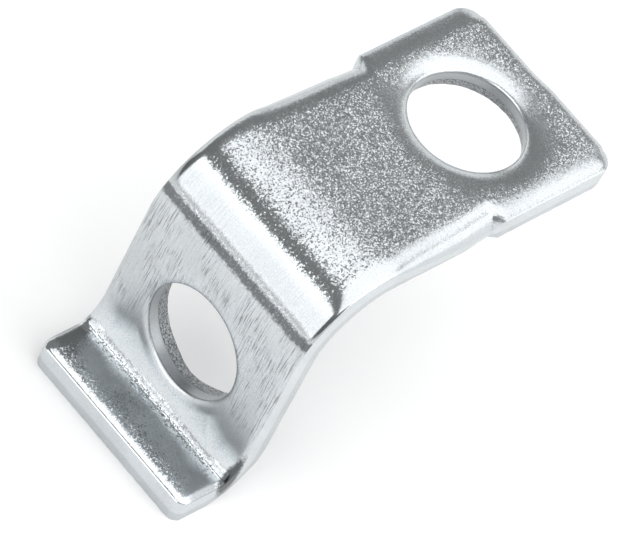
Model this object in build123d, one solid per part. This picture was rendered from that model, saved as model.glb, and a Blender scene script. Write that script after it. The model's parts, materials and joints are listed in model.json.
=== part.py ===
from build123d import *
import os

# Cranked fixing strap: one steel strip, trimmed, punched twice and folded twice.
# All sizes in millimetres.
#
#   plate    the long level leg, with the first bolt hole
#   web      the upright leg, with the second bolt hole
#   foot     the short level leg at the bottom, pointing away from the plate
#
# It is drawn standing on its foot: Z = 0 is the underside of the foot, X = 0 is the
# outer face of the web, the plate runs towards +X and the foot towards -X, and
# Y = 0 is the middle of the strip's width. The finished strap is then moved, so that
# the origin is the plate hole's centre on the plate's underside, where it seats.

# Strip
STRIP_THICKNESS = 3.5
PLATE_WIDTH = 25.0          # across the plate's wide end
NECK_WIDTH = 24.4           # across the neck, the web and the foot

# Legs
PLATE_REACH = 44.0          # outer face of the web to the plate's free end
CRANK_OFFSET = 30.7         # top of the foot to top of the plate
FOOT_REACH = 7.5            # outer face of the web to the foot's free end

# Bends
TOP_BEND_RADIUS = 11.2      # outer radius between the plate and the web
HEEL_RADIUS = 7.2           # outer radius under the foot
FLARE_HEIGHT = 4.5          # lowest stretch of the web's outer face, curving out to the foot
FLARE_SETBACK = 1.3         # how far that curve leans out where it meets the foot
CREASE_RADIUS = 0.9         # inside corner between that curve and the foot

# Bolt holes, a clearance fit for M12
HOLE_DIAMETER = 13.5
PLATE_HOLE_X = 32.3         # axis, from the outer face of the web
WEB_HOLE_DROP = 20.9        # axis, below the top of the plate

# Trimmed outline
PLATE_CORNER_RADIUS = 2.4
FOOT_CORNER_RADIUS = 1.4
WIDE_END_LENGTH = 17.0      # free end of the plate to the shoulders
SHOULDER_RAMP = 0.9         # length over which a shoulder steps down
NICK_DEPTH = 0.3            # extra bite of the trimming punch beside a shoulder
NICK_LENGTH = 4.0           # length over which that bite fades into the neck
END_STEP = 0.3              # one half of the free end stands this far back
END_STEP_RAMP = 2.5         # width over which it does

# Rounded edges that punching draws down on the outer faces
EDGE_ROLL = 0.7
RIM_ROLL = 0.5

HEIGHT = CRANK_OFFSET + STRIP_THICKNESS


def side_section():
    """The folded strip seen from its side, as a face in the XZ plane."""
    bend_start_z = HEIGHT - TOP_BEND_RADIUS
    with BuildSketch(Plane.XZ) as sketch:
        with BuildLine():
            Line((PLATE_REACH, HEIGHT), (TOP_BEND_RADIUS, HEIGHT))
            JernArc((TOP_BEND_RADIUS, HEIGHT), (-1, 0), TOP_BEND_RADIUS, 90)
            Line((0, bend_start_z), (0, STRIP_THICKNESS + FLARE_HEIGHT))
            TangentArc(
                (0, STRIP_THICKNESS + FLARE_HEIGHT),
                (-FLARE_SETBACK, STRIP_THICKNESS),
                tangent=(0, -1),
            )
            Line((-FLARE_SETBACK, STRIP_THICKNESS), (-FOOT_REACH, STRIP_THICKNESS))
            Line((-FOOT_REACH, STRIP_THICKNESS), (-FOOT_REACH, 0))
            Line((-FOOT_REACH, 0), (STRIP_THICKNESS - HEEL_RADIUS, 0))
            JernArc((STRIP_THICKNESS - HEEL_RADIUS, 0), (1, 0), HEEL_RADIUS, 90)
            Line((STRIP_THICKNESS, HEEL_RADIUS), (STRIP_THICKNESS, bend_start_z))
            JernArc(
                (STRIP_THICKNESS, bend_start_z),
                (0, 1),
                TOP_BEND_RADIUS - STRIP_THICKNESS,
                -90,
            )
            Line((TOP_BEND_RADIUS, CRANK_OFFSET), (PLATE_REACH, CRANK_OFFSET))
            Line((PLATE_REACH, CRANK_OFFSET), (PLATE_REACH, HEIGHT))
        make_face()
        crease = sketch.vertices().sort_by_distance((-FLARE_SETBACK, 0, STRIP_THICKNESS))[0]
        fillet(crease, CREASE_RADIUS)
    return sketch.sketch


def half_outline(side):
    """Corner points of the trimmed strip on one side (+1 or -1), from foot to free end."""
    neck = NECK_WIDTH / 2
    wide = PLATE_WIDTH / 2
    shoulder_x = PLATE_REACH - WIDE_END_LENGTH
    step_back = END_STEP if side > 0 else 0.0
    return [
        (-FOOT_REACH, side * neck),
        (shoulder_x - SHOULDER_RAMP - NICK_LENGTH, side * neck),
        (shoulder_x - SHOULDER_RAMP, side * (neck - NICK_DEPTH)),
        (shoulder_x, side * wide),
        (PLATE_REACH - step_back, side * wide),
        (PLATE_REACH - step_back, side * END_STEP_RAMP / 2),
    ]


def trimmed_plan():
    """The strip's outline seen from above, as a face in the XY plane."""
    corners = half_outline(1) + half_outline(-1)[::-1]
    with BuildSketch() as sketch:
        with BuildLine():
            Polyline(*corners, close=True)
        make_face()
        for side in (1, -1):
            foot_corner = (-FOOT_REACH, side * NECK_WIDTH / 2, 0)
            fillet(sketch.vertices().sort_by_distance(foot_corner)[0], FOOT_CORNER_RADIUS)
            plate_corner = (PLATE_REACH, side * PLATE_WIDTH / 2, 0)
            fillet(sketch.vertices().sort_by_distance(plate_corner)[0], PLATE_CORNER_RADIUS)
    return sketch.sketch


def outer_faces(strap):
    """Faces on the side that the punches entered: top of plate, bend, web and foot."""
    chosen = []
    for face in strap.faces():
        middle = face.center(CenterOf.GEOMETRY)
        normal = face.normal_at(middle)
        is_foot_end = middle.X < 0.1 - FOOT_REACH
        faces_out = normal.Z > 0.1 or normal.X < -0.1
        if faces_out and abs(normal.Y) < 0.5 and not is_foot_end:
            chosen.append(face)
    return chosen


def border_edges(faces):
    """Edges that belong to only one of the given faces."""
    edges = ShapeList([edge for face in faces for edge in face.edges()])
    border = ShapeList()
    for edge in edges:
        twins = [other for other in edges if (other @ 0.5 - edge @ 0.5).length < 0.01]
        if len(twins) == 1:
            border.append(edge)
    return border


def rim_edge(strap, centre, across):
    """The hole's edge nearest to a point one hole radius from its centre, in direction across."""
    return strap.edges().sort_by_distance(centre + across * (HOLE_DIAMETER / 2))[0]


def make_strap():
    folded = extrude(side_section(), amount=PLATE_WIDTH, both=True)
    trim = extrude(trimmed_plan(), amount=HEIGHT)
    strap = (folded & trim).solids()[0]
    strap = strap.fillet(EDGE_ROLL, border_edges(outer_faces(strap)))

    plate_centre = Vector(PLATE_HOLE_X, 0, HEIGHT)
    web_centre = Vector(0, 0, HEIGHT - WEB_HOLE_DROP)
    punch = Cylinder(HOLE_DIAMETER / 2, 4 * STRIP_THICKNESS)
    strap = strap - Pos(plate_centre) * punch
    strap = strap - Pos(web_centre) * Rot(0, 90, 0) * punch
    strap = strap.solids()[0]
    rims = [
        rim_edge(strap, plate_centre, Vector(1, 0, 0)),
        rim_edge(strap, web_centre, Vector(0, 1, 0)),
    ]
    strap = strap.fillet(RIM_ROLL, rims)
    return Pos(-PLATE_HOLE_X, 0, -CRANK_OFFSET) * strap


os.makedirs("parts", exist_ok=True)
strap = make_strap()
strap.label = "strap"
print("volume mm3", round(strap.volume, 1), "valid", strap.is_valid)
print("box", strap.bounding_box())
export_step(strap, "parts/strap.step")
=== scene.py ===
# %% [markdown]
# # A cranked fixing strap in bright zinc plate
#
# The real strap is one piece of steel strip. A press trims its outline, punches two
# bolt holes, folds it twice, and then it is tumbled and zinc plated. This lesson makes
# it in the same order: a flat blank, the holes, the marks that the punches leave on
# every cut edge, the two folds, and last the plating as a material.
#
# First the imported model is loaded. It is the fixed frame: it says where everything is,
# and it is measured here before anything else is added.

# %% Load the fixed frame
import json
import math

import bpy
from mathutils import Matrix, Vector, noise

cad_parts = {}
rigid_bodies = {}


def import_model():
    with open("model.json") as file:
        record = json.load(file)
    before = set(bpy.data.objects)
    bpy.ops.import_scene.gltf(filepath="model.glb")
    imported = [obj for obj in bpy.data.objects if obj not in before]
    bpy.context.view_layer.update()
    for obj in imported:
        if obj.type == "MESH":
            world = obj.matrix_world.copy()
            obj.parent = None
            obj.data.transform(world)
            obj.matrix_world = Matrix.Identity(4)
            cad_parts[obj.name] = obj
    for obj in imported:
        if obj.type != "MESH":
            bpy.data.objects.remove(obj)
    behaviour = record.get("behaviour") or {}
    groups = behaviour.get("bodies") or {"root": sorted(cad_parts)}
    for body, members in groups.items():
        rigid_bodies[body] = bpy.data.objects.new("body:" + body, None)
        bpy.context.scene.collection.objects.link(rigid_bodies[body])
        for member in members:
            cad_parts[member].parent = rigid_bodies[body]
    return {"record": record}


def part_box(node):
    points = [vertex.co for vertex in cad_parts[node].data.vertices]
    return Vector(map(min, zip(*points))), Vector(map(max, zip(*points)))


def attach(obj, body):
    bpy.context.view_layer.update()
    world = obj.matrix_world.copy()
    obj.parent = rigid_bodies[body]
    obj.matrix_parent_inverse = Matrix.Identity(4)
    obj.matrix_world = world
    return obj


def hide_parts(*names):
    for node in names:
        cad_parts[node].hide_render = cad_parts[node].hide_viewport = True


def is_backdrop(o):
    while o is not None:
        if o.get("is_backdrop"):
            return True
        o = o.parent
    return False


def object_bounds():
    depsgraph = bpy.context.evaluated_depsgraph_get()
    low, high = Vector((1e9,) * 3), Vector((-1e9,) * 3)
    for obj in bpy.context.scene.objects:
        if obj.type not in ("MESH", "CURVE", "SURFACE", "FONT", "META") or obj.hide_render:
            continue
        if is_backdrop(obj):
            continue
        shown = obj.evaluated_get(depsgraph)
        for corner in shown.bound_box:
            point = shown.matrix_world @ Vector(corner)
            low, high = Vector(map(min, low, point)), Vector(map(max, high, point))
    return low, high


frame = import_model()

MM = 0.001
cad_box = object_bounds()
strap_low, strap_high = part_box("strap")
mounts = {mount["name"]: mount for mount in frame["record"]["mounts"]}


def in_mm(lengths):
    """Lengths in metres as rounded millimetres, for what the cells print."""
    return [round(length / MM, 2) for length in lengths]


print("strap from", in_mm(strap_low), "to", in_mm(strap_high))

# %% [markdown]
# ## Sizes of the strip
#
# The outside sizes come from the frame, so the strap fits it exactly: the underside of
# the plate is at z = 0, and the plate's hole is at the origin. The bends are described
# as runs, as a press-brake operator would write them: go straight, then turn by an
# angle over a length. A run list is enough to place any point of the folded strip.

# %% Strip sizes
THICKNESS = strap_high.z
FREE_END = strap_high.x
FOOT_END = strap_low.x
HOLE_RADIUS = mounts["plate_hole"]["dims"]["r_mm"] * MM
WEB_HOLE_HEIGHT = mounts["web_hole"]["pos_m"][2]

TOP_RADIUS = 11.2 * MM         # outer radius of the upper bend
HEEL_RADIUS = 7.2 * MM         # outer radius under the foot
WEB_OUTER = -32.3 * MM         # x of the web's outer face
FLARE_HEIGHT = 4.0 * MM        # height over which the web leans out to the foot
FLARE_SETBACK = 1.3 * MM       # how far it leans out
CREASE_RADIUS = 0.6 * MM       # inside corner between web and foot
print("thickness and hole, mm:", in_mm([THICKNESS, 2 * HOLE_RADIUS]))

# %% Runs of the outer line and of the back line
BEND_X = WEB_OUTER + TOP_RADIUS               # where the plate starts to bend
BEND_Z = THICKNESS - TOP_RADIUS               # where the bend has become the web
FOOT_TOP = strap_low.z + THICKNESS
FLARE_Z = FOOT_TOP + FLARE_HEIGHT
HEEL_X = WEB_OUTER + THICKNESS - HEEL_RADIUS  # where the heel has become the foot

flare_radius = (FLARE_HEIGHT ** 2 + FLARE_SETBACK ** 2) / (2 * FLARE_SETBACK)
flare_turn = math.asin((FLARE_HEIGHT - CREASE_RADIUS) / (flare_radius - CREASE_RADIUS))
crease_turn = math.pi / 2 - flare_turn
crease_x = WEB_OUTER - flare_radius + (flare_radius - CREASE_RADIUS) * math.cos(flare_turn)

PLATE_RUN = FREE_END - BEND_X
OUTER_RUNS = [
    (PLATE_RUN, 0.0),
    (TOP_RADIUS * math.pi / 2, math.pi / 2),
    (BEND_Z - FLARE_Z, 0.0),
    (flare_radius * flare_turn, -flare_turn),
    (CREASE_RADIUS * crease_turn, -crease_turn),
    (crease_x - FOOT_END, 0.0),
]
BACK_RUNS = [
    (PLATE_RUN, 0.0),
    ((TOP_RADIUS - THICKNESS) * math.pi / 2, math.pi / 2),
    (BEND_Z - (FOOT_TOP - THICKNESS) - HEEL_RADIUS, 0.0),
    (HEEL_RADIUS * math.pi / 2, -math.pi / 2),
    (HEEL_X - FOOT_END, 0.0),
]


def run_ends(runs):
    """Distance along the strip at which each run ends."""
    ends, total = [], 0.0
    for length, turn in runs:
        total += length
        ends.append(total)
    return ends


OUTER_ENDS = run_ends(OUTER_RUNS)
STRIP_LENGTH = OUTER_ENDS[-1]
print("flat length of the strip, mm:", round(STRIP_LENGTH / MM, 2))

# %% [markdown]
# ## The outline of the blank
#
# The trimming punches leave the plate a little wider than the rest, with a shoulder on
# each edge, a shallow bite beside each shoulder, rounded corners, and one half of the
# free end standing 0.3 mm back. The flat blank is drawn in the plane of the plate: x
# runs from the free end to the foot, and y across the strip.

# %% Outline of the flat blank
FOOT_X = FREE_END - STRIP_LENGTH      # where the foot's end lies while the strip is flat
HALF_WIDE = strap_high.y
HALF_NECK = 12.2 * MM
HALF_NICK = 11.9 * MM
SHOULDER_X = -5.3 * MM
NICK_X = -6.2 * MM
NECK_X = -10.2 * MM
END_STEP = 0.3 * MM
END_STEP_HALF = 1.25 * MM             # half the width over which the free end steps back
PLATE_CORNER = 2.4 * MM
FOOT_CORNER = 1.4 * MM


def ramp(value, low, high):
    """0 below low, 1 above high, and a straight ramp between."""
    return min(1.0, max(0.0, (value - low) / (high - low)))


def ease(value, low, high):
    """The same ramp with soft ends."""
    t = ramp(value, low, high)
    return t * t * (3 - 2 * t)


def half_width(x):
    """Half the width of the trimmed blank at x."""
    bite = ramp(x, NECK_X, NICK_X) * (HALF_NECK - HALF_NICK)
    step = ramp(x, NICK_X, SHOULDER_X)
    return (HALF_NECK - bite) * (1 - step) + HALF_WIDE * step


def free_end(y):
    """Where the free end is at y: one half of it stands a little back."""
    return FREE_END - END_STEP * ramp(y, -END_STEP_HALF, END_STEP_HALF)


print("long, wide and neck, mm:", in_mm([STRIP_LENGTH, 2 * HALF_WIDE, 2 * HALF_NECK]))

# %% [markdown]
# ## The sheet of squares
#
# A grid is added and its rows and columns are then spaced like the lines a sheet-metal
# worker scribes before bending: close together at the cut edges and at the bends,
# where the shape changes fast, and wide apart on the flats. One grid carries the whole
# outline, which keeps every later mark continuous from plate to foot.

# %% Steps between the lines
EDGE_STEPS = [v * MM for v in (0.0, 0.05, 0.15, 0.31, 0.53, 0.82, 1.18, 1.6, 2.1, 2.7)]
RIM_STEPS = [v * MM for v in (0.0, 0.05, 0.14, 0.27, 0.45, 0.68, 0.96, 1.3, 1.72)]
HOLE_SQUARE = 9.2 * MM          # half the side of the square that is cut out for a hole
COLUMN_STEP = 0.75 * MM
LEAST_STEP = 0.02 * MM          # stops that lie closer than this are one stop


def spaced(start, end, step):
    """Even stops from start to end, about a step apart, with both ends."""
    count = max(1, round(abs(end - start) / step))
    return [start + (end - start) * i / count for i in range(count + 1)]


def joined(*lists):
    """One rising list of stops, with near doubles left out."""
    stops = []
    for value in sorted(v for part in lists for v in part):
        if not stops or value - stops[-1] > LEAST_STEP:
            stops.append(value)
    return stops


print("steps inwards from a cut edge, mm:", in_mm(EDGE_STEPS))

# %% Rows and columns
bend_start_x = FREE_END - OUTER_ENDS[0]
bend_end_x = FREE_END - OUTER_ENDS[1]
flare_x = FREE_END - OUTER_ENDS[2]
crease_start_x = FREE_END - OUTER_ENDS[3]
crease_end_x = FREE_END - OUTER_ENDS[4]
web_hole_x = bend_end_x - (BEND_Z - WEB_HOLE_HEIGHT)

rows = joined(
    [FREE_END - s for s in EDGE_STEPS],
    spaced(FREE_END - EDGE_STEPS[-1], SHOULDER_X, 0.8 * MM),
    spaced(SHOULDER_X, NICK_X, 0.15 * MM),
    spaced(NICK_X, NECK_X, 0.5 * MM),
    spaced(NECK_X, bend_start_x, 0.7 * MM),
    spaced(bend_start_x, bend_end_x, 0.45 * MM),
    spaced(bend_end_x, flare_x, 0.7 * MM),
    spaced(flare_x, crease_start_x, 0.4 * MM),
    spaced(crease_start_x, crease_end_x, 0.12 * MM),
    spaced(crease_end_x, FOOT_X + EDGE_STEPS[-1], 0.5 * MM),
    [FOOT_X + s for s in EDGE_STEPS],
)
inner_edge = HALF_WIDE - EDGE_STEPS[-1]
columns = joined(
    [s - HALF_WIDE for s in EDGE_STEPS],
    spaced(-inner_edge, inner_edge, COLUMN_STEP),
    [HALF_WIDE - s for s in EDGE_STEPS],
)
print("grid of", len(rows), "rows by", len(columns), "columns")

# %% Lay out the sheet
for thing in bpy.data.objects:
    thing.select_set(False)
bpy.ops.mesh.primitive_grid_add(
    x_subdivisions=len(rows) - 1, y_subdivisions=len(columns) - 1, size=1.0, location=(0, 0, 0)
)
strap = bpy.context.object
strap.name = "folded_strap"
strap.data.name = "folded_strap"
for point in strap.data.vertices:
    row = round((point.co.x + 0.5) * (len(rows) - 1))
    column = round((point.co.y + 0.5) * (len(columns) - 1))
    point.co = (rows[row], columns[column], 0.0)
print("sheet:", len(strap.data.vertices), "points")

# %% [markdown]
# ## Trimming the sheet to the outline
#
# The outer rows are pulled in to the trimmed outline, and the four corners are rounded.
# A square patch of the grid is squeezed into a quarter circle, so the rows stay even
# round the corner. Only the margin moves: the middle stays square for the holes.


# %% Trim the outline
TRIM_FROM = inner_edge - 0.4 * MM      # y at which the margin that moves begins


def trim_side(x, y):
    """Moves a point of the margin in to the outline of the blank."""
    share = ramp(abs(y), TRIM_FROM, HALF_WIDE)
    y -= math.copysign((HALF_WIDE - half_width(x)) * share, y)
    x += (free_end(y) - FREE_END) * ramp(x, FREE_END - EDGE_STEPS[-1], FREE_END)
    return x, y


def corner_of(x, y):
    """Centre of the rounded corner that a point lies in, its radius and its two signs."""
    for end, radius, way in ((free_end(y), PLATE_CORNER, 1), (FOOT_X, FOOT_CORNER, -1)):
        centre_x = end - way * radius
        centre_y = half_width(x) - radius
        if (x - centre_x) * way > 0 and abs(y) > centre_y:
            return centre_x, math.copysign(centre_y, y), radius
    return None


def round_corner(x, y):
    """Squeezes the square patch at a corner into a quarter circle."""
    found = corner_of(x, y)
    if not found:
        return x, y
    centre_x, centre_y, radius = found
    a, b = (x - centre_x) / radius, (y - centre_y) / radius
    return (
        centre_x + radius * a * math.sqrt(1 - b * b / 2),
        centre_y + radius * b * math.sqrt(1 - a * a / 2),
    )


for point in strap.data.vertices:
    x, y = round_corner(*trim_side(point.co.x, point.co.y))
    point.co = (x, y, 0.0)
print("trimmed, with corners of", in_mm([PLATE_CORNER, FOOT_CORNER]), "mm")

# %% [markdown]
# ## Two bolt holes
#
# A square of faces is taken out round each hole's centre, and its border is extruded
# inwards again and again onto circles that get smaller, closer together near the rim.
# That gives rings of even squares round the hole, which the rim's rolled edge needs. A
# boolean cut would leave long thin faces there, and they would show in the reflections.


# %% In and out of edit mode
def edit(mode="VERT", select="DESELECT"):
    """Opens the strap in edit mode with nothing selected, or all of it."""
    bpy.context.view_layer.objects.active = strap
    strap.select_set(True)
    bpy.ops.object.mode_set(mode="EDIT")
    bpy.ops.mesh.select_mode(type=mode)
    bpy.ops.mesh.select_all(action=select)


def leave():
    """Goes back to object mode, which writes the edits to the mesh."""
    bpy.ops.object.mode_set(mode="OBJECT")


print("the strap is in", bpy.context.mode.lower(), "mode")

# %% Punch the holes
BORDER_REACH = HOLE_SQUARE + MM        # the border of the square lies within this


def near_hole(point, centre_x, reach):
    """Whether a point lies in the square round a hole's centre."""
    return abs(point.x - centre_x) < reach and abs(point.y) < reach


def punch(centre_x):
    """Cuts a round hole at centre_x, with rings of faces round it."""
    edit("FACE")
    leave()
    for face in strap.data.polygons:
        face.select = near_hole(face.center, centre_x, HOLE_SQUARE)
    bpy.ops.object.mode_set(mode="EDIT")
    bpy.ops.mesh.delete(type="FACE")
    bpy.ops.mesh.select_mode(type="EDGE")
    bpy.ops.mesh.select_non_manifold()
    leave()
    mesh = strap.data
    border = []
    for edge in mesh.edges:
        ends = [mesh.vertices[i] for i in edge.vertices]
        if edge.select and all(near_hole(v.co, centre_x, BORDER_REACH) for v in ends):
            border.append(edge.index)
    mesh.vertices.foreach_set("select", [False] * len(mesh.vertices))
    mesh.edges.foreach_set("select", [False] * len(mesh.edges))
    for index in border:
        mesh.edges[index].select = True
        for corner in mesh.edges[index].vertices:
            mesh.vertices[corner].select = True
    centre = Vector((centre_x, 0, 0))
    for ring in reversed(RIM_STEPS):
        bpy.ops.object.mode_set(mode="EDIT")
        bpy.ops.mesh.extrude_edges_move()
        leave()
        for point in strap.data.vertices:
            if point.select:
                point.co = centre + (point.co - centre).normalized() * (HOLE_RADIUS + ring)
    return len(border)


for centre_x in (0.0, web_hole_x):
    print("hole at x", round(centre_x / MM, 2), "with", punch(centre_x), "faces in each ring")

# %% [markdown]
# ## Thickness
#
# The whole sheet is extruded down by the thickness of the strip, which closes it into a
# solid. Level cuts then divide its walls. They lie closer together at the top, where
# the rolled edge meets the shiny cut band, and at the line where that band breaks into
# the rough band below.

# %% Give the blank its thickness
SAME_POINT = 1e-7      # metres: points closer than this are one
WALL_LEVELS = (        # share of the thickness at which the walls are cut
    0.03, 0.08, 0.2, 0.35, 0.45, 0.48, 0.51, 0.56, 0.62, 0.69, 0.76, 0.83, 0.9, 0.96,
)
edit("FACE", "SELECT")
bpy.ops.mesh.extrude_region_move(TRANSFORM_OT_translate={"value": (0, 0, -THICKNESS)})
bpy.ops.mesh.select_all(action="SELECT")
bpy.ops.mesh.normals_make_consistent(inside=False)
for level in WALL_LEVELS:
    bpy.ops.mesh.select_all(action="SELECT")
    bpy.ops.mesh.bisect(
        plane_co=(0, 0, -THICKNESS * level), plane_no=(0, 0, 1), threshold=SAME_POINT
    )
leave()
print("blank:", len(strap.data.vertices), "points,", len(strap.data.polygons), "faces")

# %% [markdown]
# ## What the punches leave behind
#
# A punch never cuts a square edge. It first drags the surface down with it, which
# leaves a soft rolled edge on the side it enters. Then it shears a smooth, shiny band,
# and at about half depth the metal breaks, and the rest of the wall is rough and
# leans back. All three depend only on the distance to the nearest cut edge and on
# the depth, so one rule moves every point. A bevel would give the same roll
# everywhere, but here it is deeper beside the shoulders and shallow on the bends.

# %% Sizes of the rolls and of the broken band
ROLL_PLACES = [        # x, and the width and depth in mm of the roll on the long edges
    (FREE_END, 3.5, 0.8),
    (SHOULDER_X, 3.5, 0.8),
    (NICK_X, 3.8, 0.9),
    (NICK_X - 8 * MM, 3.7, 0.9),
    (bend_start_x, 3.1, 0.75),
    ((bend_start_x + bend_end_x) / 2, 1.7, 0.55),
    (bend_end_x, 1.5, 0.45),
    (flare_x, 1.3, 0.45),
    (crease_end_x, 1.5, 0.6),
    (FOOT_X, 1.6, 0.55),
]
SHEARED_PLACES = [     # x, and how much deeper, in mm, the neck's edge was dragged
    (SHOULDER_X, 0.0),
    (NICK_X, 1.7),
    (NICK_X - 3 * MM, 1.8),
    (NICK_X - 8 * MM, 1.2),
    (NICK_X - 13 * MM, 0.7),
    (bend_start_x, 0.25),
    (bend_end_x, 0.0),
]
SHEARED_WIDTH = 2.3 * MM
END_ROLL = (1.5, 0.5)          # width and depth in mm, at the free end and the foot's end
RIM_ROLL = (3.6, 0.95)
WEB_RIM_ROLL = (0.8, 0.3)
RIM_LEAN = 0.42                # mm that the broken band leans back, in a hole
SIDE_LEAN = 0.1                # and along the outline
BREAK = 0.48                   # share of the wall at which it breaks
FULLY_TORN = 0.7               # and at which it is torn all over
LEAN_AT_BREAK = 0.12           # share of the lean that it has at once
DEEPEST_ROLL = 2.7 * MM        # where rolls overlap they sink no deeper than this
TORN_SIZE = 0.35 * MM          # size and height of the torn lumps
TORN_HEIGHT = 0.05 * MM
print("rolls of the two rims, mm:", RIM_ROLL, WEB_RIM_ROLL)


# %% Cut edges near a point
def roll_at(x):
    """Width and depth of the rolled edge along the strip's sides, in metres."""
    for (x1, w1, d1), (x2, w2, d2) in zip(ROLL_PLACES, ROLL_PLACES[1:]):
        if x >= x2:
            share = (x1 - x) / (x1 - x2)
            return (w1 + (w2 - w1) * share) * MM, (d1 + (d2 - d1) * share) * MM
    return ROLL_PLACES[-1][1] * MM, ROLL_PLACES[-1][2] * MM


def sheared_at(x):
    """Extra depth of the roll in metres on the neck's two edges."""
    for (x1, d1), (x2, d2) in zip(SHEARED_PLACES, SHEARED_PLACES[1:]):
        if x1 >= x >= x2:
            return (d1 + (d2 - d1) * (x1 - x) / (x1 - x2)) * MM
    return 0.0


def cut_edges(x, y):
    """Each cut edge near a point: gap to it, way into the metal, roll width and depth, lean."""
    found = []
    width, depth = roll_at(x)
    corner = corner_of(x, y)
    if corner:
        out = Vector((x - corner[0], y - corner[1]))
        found.append((corner[2] - out.length, -out.normalized(), width, depth, SIDE_LEAN * MM))
    else:
        inward = Vector((0, -math.copysign(1, y)))
        found.append((half_width(x) - abs(y), inward, width, depth, SIDE_LEAN * MM))
        found.append((half_width(x) - abs(y), inward, SHEARED_WIDTH, sheared_at(x), 0.0))
        width, depth = END_ROLL[0] * MM, END_ROLL[1] * MM
        found.append((free_end(y) - x, Vector((-1, 0)), width, depth, SIDE_LEAN * MM))
        found.append((x - FOOT_X, Vector((1, 0)), width, depth, SIDE_LEAN * MM))
    for centre_x, (width, depth) in ((0.0, RIM_ROLL), (web_hole_x, WEB_RIM_ROLL)):
        out = Vector((x - centre_x, y))
        gap = out.length - HOLE_RADIUS
        found.append((gap, out.normalized(), width * MM, depth * MM, RIM_LEAN * MM))
    return found


print("roll beside the nick, mm:", in_mm(roll_at(NICK_X)))
print("and deeper by, mm:", in_mm([sheared_at(NICK_X)]))


# %% Press the blank
def rolled(gap, width, depth):
    """How far the surface is dragged down at a distance from the cut: a quarter ellipse."""
    u = 1 - ramp(gap, 0, width)
    return depth * (1 - math.sqrt(max(0.0, 1 - u * u)))


def press(x, y, z):
    """Where a point of the square-edged blank goes when the punches have passed."""
    level = -z / THICKNESS
    near = cut_edges(x, y)
    sunk = min(sum(rolled(gap, width, depth) for gap, _, width, depth, _ in near), DEEPEST_ROLL)
    z = -sunk - level * (THICKNESS - sunk)
    for gap, inward, width, _, lean in near:
        if lean and level > BREAK and gap < width:
            back = lean * (LEAN_AT_BREAK + (1 - LEAN_AT_BREAK) * ramp(level, BREAK, 1.0))
            lump = noise.noise(Vector((x, y, z)) / TORN_SIZE) * TORN_HEIGHT
            back = (back + lump * ramp(level, BREAK, FULLY_TORN)) * (1 - ramp(gap, 0, width))
            x += inward.x * back
            y += inward.y * back
    return x, y, z, level


flat = [point.co.copy() for point in strap.data.vertices]
pressed = [press(*co) for co in flat]
print("deepest roll, mm:", round(-min(p[2] for p in pressed if p[3] == 0) / MM, 2))

# %% [markdown]
# ## Folding the strip
#
# The press folds the blank over its two tools. In the window, a bend is one drag of a
# handle, but that tool can't be used from a script, so each point is folded by rule:
# its distance along the strip finds one point on the outer line and one on the back
# line, and its depth says how far it lies between them. The back line has its own
# radii, so the metal thins a little over the heel, as it does in the press. Inside a
# bend the metal is also squeezed sideways, and outside it draws in.


# %% The two lines of the folded strip
BACK_ENDS = run_ends(BACK_RUNS)
HEEL_END = OUTER_ENDS[-1] - (HEEL_X - FOOT_END)
OPPOSITE = [           # distances along the outer line and the back line that lie opposite
    (0.0, 0.0),
    (OUTER_ENDS[0], OUTER_ENDS[0]),
    (OUTER_ENDS[1], BACK_ENDS[1]),
    (OUTER_ENDS[2], BACK_ENDS[1] + OUTER_ENDS[2] - OUTER_ENDS[1]),
    (HEEL_END, BACK_ENDS[3]),
    (OUTER_ENDS[-1], BACK_ENDS[-1]),
]


def along(runs, distance):
    """The point that lies a distance along a list of runs that starts at the free end."""
    x, z, heading = FREE_END, 0.0, 0.0
    for length, turn in runs:
        step = min(max(distance, 0.0), length)
        if turn:
            radius = length / turn
            angle = heading + step / radius
            x += radius * (math.sin(heading) - math.sin(angle))
            z += radius * (math.cos(angle) - math.cos(heading))
            heading = angle
        else:
            x -= step * math.cos(heading)
            z -= step * math.sin(heading)
        distance -= step
    return x, z


def matching(distance):
    """Distance along the back line that lies opposite a distance along the outer line."""
    i = 0
    while i < len(OPPOSITE) - 2 and distance > OPPOSITE[i + 1][0]:
        i += 1
    (outer, back), (next_outer, next_back) = OPPOSITE[i:i + 2]
    share = (distance - outer) / (next_outer - outer)
    if next_outer == HEEL_END:         # towards the heel the spare length is eased in
        spare = (next_back - back) - (next_outer - outer)
        soft = share ** 3 * (10 - 15 * share + 6 * share * share)
        return back + distance - outer + spare * soft
    return back + (next_back - back) * share


print("the back line is", in_mm([BACK_ENDS[-1]]), "mm long")

# %% Fold the blank
SQUEEZE = 0.016        # share by which the bend's inside is wider than its outside
SQUEEZE_LEVEL = 0.6    # share of the thickness where the width stays the same
SQUEEZE_EASE = 6 * MM  # length over which it comes and goes


def fold(x, y, depth):
    """Folds a point of the flat blank: depth is how far it lies below the outer face."""
    distance = FREE_END - x
    outer_x, outer_z = along(OUTER_RUNS, distance)
    back_x, back_z = along(BACK_RUNS, matching(distance))
    share = depth / THICKNESS
    squeeze = ease(distance, OUTER_ENDS[0], OUTER_ENDS[0] + SQUEEZE_EASE)
    squeeze *= 1 - ease(distance, OUTER_ENDS[1] - SQUEEZE_EASE, OUTER_ENDS[1])
    y *= 1 + squeeze * (share - SQUEEZE_LEVEL) * SQUEEZE
    top = Vector((outer_x, y, THICKNESS + outer_z))
    back = Vector((back_x, y, back_z))
    return top.lerp(back, share)


for point, (x, y, z, level) in zip(strap.data.vertices, pressed):
    point.co = fold(x, y, -z)
low = [min(v.co[i] for v in strap.data.vertices) for i in range(3)]
high = [max(v.co[i] for v in strap.data.vertices) for i in range(3)]
print("folded, from", in_mm(low), "to", in_mm(high))

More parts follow.
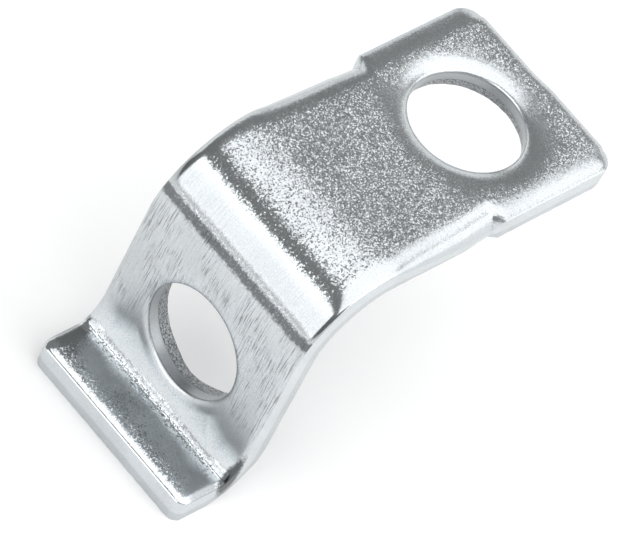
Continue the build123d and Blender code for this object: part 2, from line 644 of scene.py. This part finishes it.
# %% [markdown]
# ## Notes on the metal for the finish
#
# The plating looks different on a punched wall, on an ironed bend and on a flat. So the
# mesh keeps notes: a UV map that is the flat blank itself, in metres, marks for the
# punched walls and for those inside a hole, how deep in its wall a point lies, and
# whether a rolled edge was ironed. Patterns that follow the strip round its bends read
# the blank, and patterns on the walls read the marks.

# %% Write the notes on the mesh
ON_WALL = 0.02 * MM            # a point this near a cut edge lies on its wall
IRONED = (0.05, 0.4)           # share of a roll's width where ironing begins and is full
SHARP = math.radians(38)       # edges that turn more than this stay sharp
mesh = strap.data
wall_marks, hole_marks, levels, ironed_marks = [], [], [], []
for (x, y, z), (_, _, _, level) in zip(flat, pressed):
    cuts = cut_edges(x, y)
    gaps = [cut[0] for cut in cuts]
    wall_marks.append(1.0 if min(gaps) < ON_WALL else 0.0)
    hole_marks.append(1.0 if min(gaps[-2:]) < ON_WALL else 0.0)
    levels.append(level)
    ironed_marks.append(max(ramp(1 - gap / width, *IRONED) for gap, _, width, _, _ in cuts))
marks = {"wall": wall_marks, "hole": hole_marks, "level": levels, "ironed": ironed_marks}
for name, values in marks.items():
    mesh.attributes.new(name, "FLOAT", "POINT").data.foreach_set("value", values)
while mesh.uv_layers:
    mesh.uv_layers.remove(mesh.uv_layers[0])
blank_map = mesh.uv_layers.new(name="blank")
for loop in mesh.loops:
    x, y, _ = flat[loop.vertex_index]
    blank_map.data[loop.index].uv = (FREE_END - x, y)

edit("FACE", "SELECT")
bpy.ops.mesh.remove_doubles(threshold=SAME_POINT)
bpy.ops.mesh.normals_make_consistent(inside=False)
leave()
bpy.ops.object.shade_smooth_by_angle(angle=SHARP)
sharp_edges = sum(1 for e in mesh.edges if e.use_edge_sharp)
print("strap:", len(mesh.polygons), "faces,", int(sum(wall_marks)), "points on the walls")
print("sharp edges:", sharp_edges)

# %% [markdown]
# ## Bright zinc plate
#
# The real finish is zinc plate on punched and tumbled steel: a metal coating about a
# hundredth of a millimetre thick, bright and a little blue. It hides nothing, so every
# mark of the steel shows through it. It could be one material for each zone of the
# strip, but the zones run into each other with ragged borders. So it is one material,
# and its grain, tone and gloss are read from ramps along the flat blank.
#
# First come three helpers: one for colours, one that adds a node, and one for ramps.


# %% Helpers for the material
def linear(hex_colour):
    """An sRGB hex colour as linear values."""
    parts = [int(hex_colour[i:i + 2], 16) / 255 for i in (1, 3, 5)]
    return [p / 12.92 if p <= 0.04045 else ((p + 0.055) / 1.055) ** 2.4 for p in parts] + [1.0]


def add(kind, settings=(), **inputs):
    """Adds a node. An input is a node, a socket or a plain value; _2 means input 2."""
    node = tree.nodes.new(kind)
    for name, value in dict(settings).items():
        setattr(node, name, value)
    for name, source in inputs.items():
        slot = node.inputs[int(name[1:]) if name[1:].isdigit() else name.replace("_", " ")]
        if isinstance(source, bpy.types.Node):
            source = source.outputs[0]
        if isinstance(source, bpy.types.NodeSocket):
            tree.links.new(source, slot)
        else:
            slot.default_value = source
    return node


def stops(ramp_node, marks, full=1.0):
    """Sets a ramp's stops: pairs of place and grey value, where full is its far end."""
    elements = ramp_node.color_ramp.elements
    elements[0].position, elements[1].position = marks[0][0] / full, marks[-1][0] / full
    elements[0].color = (marks[0][1],) * 3 + (1.0,)
    elements[1].color = (marks[-1][1],) * 3 + (1.0,)
    for place, value in marks[1:-1]:
        elements.new(place / full).color = (value,) * 3 + (1.0,)


print("#808080 in linear light:", round(linear("#808080")[0], 3))


# %% [markdown]
# ### Where a point lies on the strip
#
# The UV map of the flat blank gives the distance from the free end, whatever the folds
# do to the shape. Noise moves that distance by about half a millimetre either way, so
# that the border of every zone wanders, as the border of a pressed mark does.

# %% Start the plating
zinc = bpy.data.materials.new("bright_zinc_plate")
zinc.use_nodes = True
tree = zinc.node_tree
shader = tree.nodes["Principled BSDF"]

place = add("ShaderNodeTexCoord").outputs["Object"]
blank = add("ShaderNodeUVMap", {"uv_map": "blank"}).outputs["UV"]
on_wall = add("ShaderNodeAttribute", {"attribute_name": "wall"}).outputs["Fac"]
in_hole = add("ShaderNodeAttribute", {"attribute_name": "hole"}).outputs["Fac"]
wall_level = add("ShaderNodeAttribute", {"attribute_name": "level"}).outputs["Fac"]
ironed = add("ShaderNodeAttribute", {"attribute_name": "ironed"}).outputs["Fac"]

STRIP_MM = STRIP_LENGTH / MM
WANDER_GRAIN = 0.38 * MM
WANDER = 1.2 * MM / STRIP_LENGTH       # how far a border wanders, from end to end
distance = add("ShaderNodeSeparateXYZ", Vector=blank)
share = add("ShaderNodeMath", {"operation": "DIVIDE"}, _0=distance, _1=STRIP_LENGTH)
wander = add(
    "ShaderNodeTexNoise", Scale=1 / WANDER_GRAIN, Detail=4.0, Roughness=0.65, Vector=place
)
moved = add("ShaderNodeMath", {"operation": "MULTIPLY_ADD"}, _0=wander, _1=WANDER, _2=share)
zone = add("ShaderNodeMath", {"operation": "SUBTRACT"}, _0=moved, _1=WANDER / 2)
print("the ramps run over", round(STRIP_MM, 2), "mm of strip")

# %% [markdown]
# ### Tumbled grain
#
# Tumbling with grit leaves a field of tiny dents and facets on every flat. The folding
# tools iron it away on the bends, and the punches do so on the rolled edges. The real
# grain is under a tenth of a millimetre, and it is drawn a little coarser so that it
# shows. The sparkle comes from the facets more than from the dents: a bright facet that
# happens to lean towards a light is white beside its grey neighbours. Most lean very
# little and a few lean a lot, and a random lean does the same when it is cubed.

# %% Dents and facets
GRIT = 0.11 * MM
DENT = 0.006 * MM      # depth of a dent
FACET = 0.14 * MM      # width of a facet
LEAN = 2.3             # how far the steepest facets lean
GRAIN_ALONG = [        # mm from the free end, share of the grain that is left there
    (0.0, 1.0), (36.0, 1.0), (38.6, 0.75), (39.6, 0.35), (41.0, 0.25), (42.0, 0.06),
    (45.6, 0.06), (46.2, 1.0), (47.4, 1.0), (48.2, 0.16), (66.0, 0.12), (69.2, 0.12),
    (69.8, 1.0), (70.8, 1.0), (71.2, 0.2), (73.4, 0.3), (74.6, 1.0),
]
grain_along = add("ShaderNodeValToRGB", _0=zone)
stops(grain_along, GRAIN_ALONG, STRIP_MM)
left_by_punch = add("ShaderNodeMapRange", Value=ironed, To_Min=1.0, To_Max=0.2)
grain_here = add("ShaderNodeMath", {"operation": "MULTIPLY"}, _0=left_by_punch, _1=grain_along)

dents = add("ShaderNodeTexNoise", Scale=1 / GRIT, Detail=1.5, Roughness=0.55, Vector=place)
dents_here = add("ShaderNodeMath", {"operation": "MULTIPLY"}, _0=dents, _1=grain_here)
dented = add("ShaderNodeBump", Strength=1.0, Distance=DENT, Height=dents_here)

cells = add("ShaderNodeTexVoronoi", Scale=1 / FACET, Vector=place).outputs["Color"]
lean = add("ShaderNodeVectorMath", {"operation": "SUBTRACT"}, _0=cells, _1=(0.5, 0.5, 0.5))
squared = add("ShaderNodeVectorMath", {"operation": "MULTIPLY"}, _0=lean, _1=lean)
cubed = add("ShaderNodeVectorMath", {"operation": "MULTIPLY"}, _0=squared, _1=lean)
lean_here = add("ShaderNodeMath", {"operation": "MULTIPLY"}, _0=grain_here, _1=LEAN)
facets = add("ShaderNodeVectorMath", {"operation": "SCALE"}, _0=cubed, Scale=lean_here)
print("grain of", GRIT / MM, "mm, facets of", FACET / MM, "mm")

# %% [markdown]
# ### Drawing lines on the web
#
# The web was dragged past the folding tool, which scored it along the strip with fine
# lines a few millimetres long and about 0.15 mm apart, in patches where the tool
# pressed hardest. Noise on the blank, stretched along the strip, gives such lines. They
# are a shallow groove and also a darker tone, because a groove holds less zinc shine.

# %% Lines and their patches
LINE_LENGTH = 3.8 * MM
LINE_GAP = 0.14 * MM
LINE_DEPTH = 0.03 * MM
PATCH = 3 * MM
LINES_ALONG = [        # mm from the free end, strength of the lines there
    (0.0, 0.0), (38.5, 0.0), (41.0, 0.12), (45.5, 0.2), (47.6, 1.0), (62.0, 0.8),
    (66.0, 0.25), (69.0, 0.0),
]
lines_along = add("ShaderNodeValToRGB", _0=zone)
stops(lines_along, LINES_ALONG, STRIP_MM)
stretched = add("ShaderNodeMapping", Vector=blank, Scale=(1 / LINE_LENGTH, 1 / LINE_GAP, 1.0))
lines = add("ShaderNodeTexNoise", Scale=1.0, Detail=3.0, Roughness=0.7, Vector=stretched)
lines_here = add("ShaderNodeMath", {"operation": "MULTIPLY"}, _0=lines, _1=lines_along)
scored = add(
    "ShaderNodeBump", Strength=1.0, Distance=LINE_DEPTH, Height=lines_here, Normal=dented
)

line_tone = add(
    "ShaderNodeMapRange", Value=lines, From_Min=0.5, From_Max=0.6, To_Min=1.0, To_Max=0.35
)
patches = add("ShaderNodeTexNoise", Scale=1 / PATCH, Detail=2.0, Vector=place)
pressed_hard = add(
    "ShaderNodeMapRange", Value=patches, From_Min=0.42, From_Max=0.56, To_Min=0.2
)
patch_here = add("ShaderNodeMath", {"operation": "MULTIPLY"}, _0=pressed_hard, _1=lines_along)
scored_tone = add("ShaderNodeMix", {"data_type": "FLOAT"}, Factor=patch_here, A=1.0, B=line_tone)
print("lines", LINE_GAP / MM, "mm apart, in patches of", PATCH / MM, "mm")

# %% [markdown]
# ### The punched walls
#
# A punched wall has two bands. The upper one is sheared and shiny. At about half depth
# it ends in a dark ragged line, and below that the steel broke, so it is rough and
# spotted. The mark that says how deep a point lies in its wall drives a ramp, and noise
# of about 0.2 mm, the size of the torn grains, makes the line between them uneven. The
# walls inside the holes are painted darker all over, as painted shade for the inside of
# a hole. The walls of the outline were brushed by the tumbling and are only a little
# darker below.

# %% Shiny band and broken band
TORN_GRAIN = 0.22 * MM
TORN_RELIEF = 0.1 * MM
UNEVEN = 0.1           # share of the wall by which the line between the bands moves
# These tones are the wall's own bands, painted darker all over as painted shade for the inside
# of a hole.
HOLE_WALL_BANDS_AND_PAINTED_SHADE = [          # share of the depth, tone: the rim's dark line, shiny, broken
    (0.0, 0.22), (0.05, 0.26), (0.1, 0.58), (0.47, 0.52), (0.5, 0.2), (0.55, 0.34), (1.0, 0.34),
]
torn = add("ShaderNodeTexNoise", Scale=1 / TORN_GRAIN, Detail=3.0, Roughness=0.65, Vector=place)
depth = add("ShaderNodeMath", {"operation": "MULTIPLY_ADD"}, _0=torn, _1=UNEVEN, _2=wall_level)
hole_band_tone_and_shade = add("ShaderNodeValToRGB", _0=depth)
stops(hole_band_tone_and_shade, HOLE_WALL_BANDS_AND_PAINTED_SHADE)
broken = add("ShaderNodeMapRange", Value=depth, From_Min=0.46, From_Max=0.52)
spots = add(
    "ShaderNodeMapRange", Value=torn, From_Min=0.4, From_Max=0.62, To_Min=0.35, To_Max=2.0
)
spotted = add("ShaderNodeMix", {"data_type": "FLOAT"}, Factor=broken, A=1.0, B=spots)
hole_spots_and_shade = add("ShaderNodeMath", {"operation": "MULTIPLY"}, _0=hole_band_tone_and_shade, _1=spotted)
side_shade = add(
    "ShaderNodeMapRange", Value=depth, From_Min=0.57, From_Max=0.66, To_Min=1.0, To_Max=0.86
)
# Hole walls take the painted shade; the walls of the outline do not.
wall_tone_with_hole_shade = add(
    "ShaderNodeMix", {"data_type": "FLOAT"}, Factor=in_hole, A=side_shade, B=hole_spots_and_shade
)

torn_share = add("ShaderNodeMapRange", Value=in_hole, To_Min=0.2, To_Max=1.0)
torn_place = add("ShaderNodeMath", {"operation": "MULTIPLY"}, _0=torn_share, _1=on_wall)
torn_band = add("ShaderNodeMath", {"operation": "MULTIPLY"}, _0=torn, _1=broken)
torn_here = add("ShaderNodeMath", {"operation": "MULTIPLY"}, _0=torn_band, _1=torn_place)
rough = add(
    "ShaderNodeBump", Strength=1.0, Distance=TORN_RELIEF, Height=torn_here, Normal=scored
)
print("torn grains of", TORN_GRAIN / MM, "mm,", TORN_RELIEF / MM, "mm high")

# %% [markdown]
# ### Tone of the plating, with painted shade
#
# Zinc plate is a little cloudy over some millimetres, and speckled at the size of its
# crystals. Painted light is laid along the strip: painted shade dims the white band on
# the upper bend, a painted dark reflection makes the stripe at the end of that bend, two
# thin lines of painted shade lie in the crease, and the foot's smooth face is darker. A
# painted dark reflection also sits at one end of the crease, as a ragged spot. All of
# these multiply, and the result mixes a dark and a light zinc colour.

# %% Painted shade and reflection stripes along the strip
# Tone along the strip, with painted light in it. Painted shade dims the white band of the upper
# bend. A painted dark reflection makes the stripe at the end of that bend. Two thin lines of
# painted shade lie in the crease. The foot's smooth face is darker.
TONE_AND_PAINTED_SHADE_ALONG = [       # mm from the free end, tone there
    (0.0, 0.94), (41.0, 0.88), (43.0, 0.64), (44.6, 0.62), (45.9, 0.85), (46.2, 0.26),
    (47.1, 0.26), (47.5, 0.93), (65.0, 0.93), (67.0, 1.0), (69.3, 1.0), (69.55, 0.3),
    (69.7, 0.85), (69.85, 0.3), (70.0, 1.0), (70.7, 1.0), (71.1, 0.58), (74.3, 0.62),
    (75.2, 1.0),
]
# This ramp paints the shade and reflection stripes into the colour.
tone_and_shade_ramp = add("ShaderNodeValToRGB", _0=zone)
stops(tone_and_shade_ramp, TONE_AND_PAINTED_SHADE_ALONG, STRIP_MM)
face_shade = add("ShaderNodeMath", {"operation": "MULTIPLY"}, _0=tone_and_shade_ramp, _1=scored_tone)
shade = add("ShaderNodeMix", {"data_type": "FLOAT"}, Factor=on_wall, A=face_shade, B=wall_tone_with_hole_shade)
print("darkest tone along the strip:", min(tone for _, tone in TONE_AND_PAINTED_SHADE_ALONG))

# %% The painted dark reflection spot at the crease
PAINTED_SPOT_CENTRE = (-33.1 * MM, -12.3 * MM, -26.0 * MM)
PAINTED_SPOT_STRETCH = (1.0, 1.6, 0.4)      # a larger share makes the painted spot shorter that way
PAINTED_SPOT_DARK = 0.6 * MM                  # the painted spot is dark up to here, and gone beyond
PAINTED_SPOT_GONE = 1.1 * MM
PAINTED_SPOT_RAGGED = 1.2 * MM
# A painted dark reflection: a dark ragged spot at one end of the crease, painted into the
# colour.
from_spot_centre = add("ShaderNodeVectorMath", {"operation": "SUBTRACT"}, _0=place, _1=PAINTED_SPOT_CENTRE)
spot_stretched = add(
    "ShaderNodeVectorMath", {"operation": "MULTIPLY"}, _0=from_spot_centre, _1=PAINTED_SPOT_STRETCH
)
gap = add("ShaderNodeVectorMath", {"operation": "LENGTH"}, _0=spot_stretched).outputs["Value"]
ragged_spot_gap = add(
    "ShaderNodeMath", {"operation": "MULTIPLY_ADD"}, _0=wander, _1=-PAINTED_SPOT_RAGGED, _2=gap
)
painted_reflection_spot = add(
    "ShaderNodeMapRange", Value=ragged_spot_gap, From_Min=PAINTED_SPOT_DARK, From_Max=PAINTED_SPOT_GONE, To_Min=0.15
)
tone_with_painted_spot = add("ShaderNodeMath", {"operation": "MULTIPLY"}, _0=shade, _1=painted_reflection_spot)
print("the bruise is at", in_mm(PAINTED_SPOT_CENTRE), "mm")

# %% Crystals, clouds and the colour
CRYSTAL = 0.15 * MM
CLOUD = 6 * MM
DARK_ZINC = linear("#1E2224")
LIGHT_ZINC = linear("#DADFE2")
crystals = add("ShaderNodeTexNoise", Scale=1 / CRYSTAL, Detail=2.0, Vector=place)
speckle = add("ShaderNodeMapRange", Value=crystals, From_Min=0.35, From_Max=0.65, To_Min=0.86)
clouds = add("ShaderNodeTexNoise", Scale=1 / CLOUD, Detail=2.0, Vector=place)
cloud = add(
    "ShaderNodeMapRange", Value=clouds, From_Min=0.3, From_Max=0.7, To_Min=0.93, To_Max=1.04
)
speckled = add("ShaderNodeMath", {"operation": "MULTIPLY"}, _0=tone_with_painted_spot, _1=speckle)
toned = add("ShaderNodeMath", {"operation": "MULTIPLY"}, _0=speckled, _1=cloud)

zinc_colour = add(
    "ShaderNodeMix", {"data_type": "RGBA"}, Factor=toned, _6=DARK_ZINC, _7=LIGHT_ZINC
)
tree.links.new(zinc_colour.outputs[2], shader.inputs["Base Color"])
shader.inputs["Metallic"].default_value = 1.0
print("crystals of", CRYSTAL / MM, "mm, clouds of", CLOUD / MM, "mm")

# %% [markdown]
# ### Gloss
#
# Plated flats with tumbled grain are a little soft, the ironed bend is nearly a mirror,
# the scored web and the hollow above the crease are duller, and the walls are dullest.
# The direction that the surface faces is the sum of the dents, the lines, the torn walls
# and the lean of the facets.

# %% Roughness and surface direction
DULL_ALONG = [         # mm from the free end, roughness there
    (0.0, 0.26), (36.0, 0.24), (41.0, 0.12), (46.0, 0.12), (47.6, 0.2), (56.0, 0.22),
    (61.0, 0.34), (66.5, 0.32), (68.5, 0.16), (70.8, 0.12), (71.6, 0.2), (73.8, 0.18),
    (74.8, 0.12),
]
DULL_WALL = 0.34
dull_along = add("ShaderNodeValToRGB", _0=zone)
stops(dull_along, DULL_ALONG, STRIP_MM)
dull = add("ShaderNodeMix", {"data_type": "FLOAT"}, Factor=on_wall, A=dull_along, B=DULL_WALL)
tree.links.new(dull.outputs[0], shader.inputs["Roughness"])

leaning = add("ShaderNodeVectorMath", {"operation": "ADD"}, _0=rough, _1=facets)
facing = add("ShaderNodeVectorMath", {"operation": "NORMALIZE"}, _0=leaning)
tree.links.new(facing.outputs[0], shader.inputs["Normal"])
print("plating made of", len(tree.nodes), "nodes")

# %% [markdown]
# ## The strap goes into the frame
#
# The finished strap takes the plating, rides on the fixed body, and stands in for the
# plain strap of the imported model.

# %% Finish the strap
mesh.materials.clear()
mesh.materials.append(zinc)

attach(strap, "root")
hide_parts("strap")
print("strap rides on root with", len(mesh.polygons), "faces")

# %% [markdown]
# ## The floor
#
# A sheet of matt white paper under the foot. It is much larger than the strap, because
# the web and the walls of the strap reflect it, and a near edge would show in them.

# %% Lay the floor
FLOOR_SIDE = 8.0       # metres
bpy.ops.object.select_all(action="DESELECT")
bpy.ops.mesh.primitive_plane_add(size=FLOOR_SIDE, location=(0, 0, cad_box[0].z))
floor = bpy.context.object
floor.name = "floor"
paper = bpy.data.materials.new("white_paper")
paper.use_nodes = True
sheet = paper.node_tree.nodes["Principled BSDF"]
sheet.inputs["Base Color"].default_value = linear("#FAFAFA")
sheet.inputs["Roughness"].default_value = 0.9
sheet.inputs["Specular IOR Level"].default_value = 0.1
floor.data.materials.append(paper)
floor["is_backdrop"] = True
print("floor at z", in_mm([cad_box[0].z]), "mm")

# %% [markdown]
# ## The lights
#
# Bright metal shows only what it reflects, so its picture is made by large soft boxes
# and by the grey gaps between them. The overhead box hangs to one side: the flat plate
# just misses it, and so the plate is grey with white sparkle, while the edges and rims
# that roll towards the box are white. The left box makes the white band on the upper
# bend and the flare, and the gap between the two boxes makes the dark stripe above that
# band. The front box whitens the steep part of the neck's edge. The back and right
# boxes are dimmer and only fill the walls.


# %% A soft box
def soft_box(name, place, size, radiance):
    """A rectangular light that faces the strap, with an even brightness over its face."""
    lamp = bpy.data.lights.new(name, "AREA")
    lamp.shape = "RECTANGLE"
    lamp.size, lamp.size_y = size
    lamp.energy = radiance * math.pi * size[0] * size[1]
    light = bpy.data.objects.new(name, lamp)
    bpy.context.scene.collection.objects.link(light)
    light.location = place
    light.rotation_euler = (-Vector(place)).to_track_quat("-Z", "Y").to_euler()
    light.visible_camera = False
    return light


print("a box of 1 m by 1 m and brightness 1 gives", round(math.pi, 2), "W")

# %% Hang the overhead box
BOX_HEIGHT = 1.5               # metres
BOX_ASIDE = (0.355, -0.7325)   # how far it hangs to the side, as shares of its height
BOX_SIZE = (1.89, 2.335)       # its two sides, as shares of its height
BOX_TURN = math.radians(-20)
OVERHEAD_BRIGHTNESS = 1.45
box_x = Vector((math.cos(BOX_TURN), math.sin(BOX_TURN), 0))
box_y = Vector((-math.sin(BOX_TURN), math.cos(BOX_TURN), 0))
box_place = (box_x * BOX_ASIDE[0] + box_y * BOX_ASIDE[1] + Vector((0, 0, 1))) * BOX_HEIGHT
box_sides = [side * BOX_HEIGHT for side in BOX_SIZE]
overhead = soft_box("overhead", box_place, box_sides, OVERHEAD_BRIGHTNESS)
overhead.rotation_euler = (0, 0, BOX_TURN)     # it hangs level and looks straight down
print("the overhead box hangs at", [round(v, 2) for v in box_place], "m")

# %% Hang the other boxes and light the room
SIDE_BOXES = {                 # place and size in metres, and brightness
    "left": ((-1.95, 0.3, 0.77), (2.6, 1.54), 1.9),
    "front": ((0.9, -2.0, 0.74), (3.2, 1.5), 1.4),
    "back": ((0.4, 2.0, 0.5), (2.6, 0.9), 0.9),
    "right": ((2.0, 0.3, 0.5), (2.6, 0.9), 0.9),
}
ROOM_BRIGHTNESS = 0.25
for name, box in SIDE_BOXES.items():
    soft_box(name, *box)

world = bpy.data.worlds.new("studio")
world.use_nodes = True
room = world.node_tree.nodes["Background"]
room.inputs["Color"].default_value = linear("#FFFFFF")
room.inputs["Strength"].default_value = ROOM_BRIGHTNESS
bpy.context.scene.world = world

# %% [markdown]
# ## The camera
#
# A long lens from far away, high on the left, so that parallel edges stay nearly
# parallel. The camera is rolled about its own axis, because the strap is seen lying
# askew, and it is given its three directions directly.

# %% Set up the camera
CAMERA_RIGHT = (0.71129, -0.62442, 0.32276)
CAMERA_UP = (0.36244, 0.71924, 0.59273)
CAMERA_BACK = (-0.60225, -0.30462, 0.7379)
CAMERA_PLACE = Vector((-522.22, -255.87, 606.39)) * MM
FOCAL_LENGTH = 456.0           # the lens and its sensor are in millimetres
SENSOR = 36.0
lens = bpy.data.cameras.new("camera")
lens.lens = FOCAL_LENGTH
lens.sensor_width = SENSOR
lens.clip_start = 0.05
camera = bpy.data.objects.new("camera", lens)
bpy.context.scene.collection.objects.link(camera)
turn = Matrix((CAMERA_RIGHT, CAMERA_UP, CAMERA_BACK)).transposed()
camera.matrix_world = Matrix.Translation(CAMERA_PLACE) @ turn.to_4x4()
bpy.context.scene.camera = camera
bpy.context.scene.view_settings.view_transform = "Standard"
print("camera at", round(CAMERA_PLACE.length, 2), "m")

# %% [markdown]
# ## Check against the frame
#
# The finished strap must lie inside the box of the imported model. Both boxes are printed.

# %% Print both boxes and finish
visual_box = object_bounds()
for name, box in (("packed", cad_box), ("finished", visual_box)):
    print(name, "box in mm:", [in_mm(corner) for corner in box])
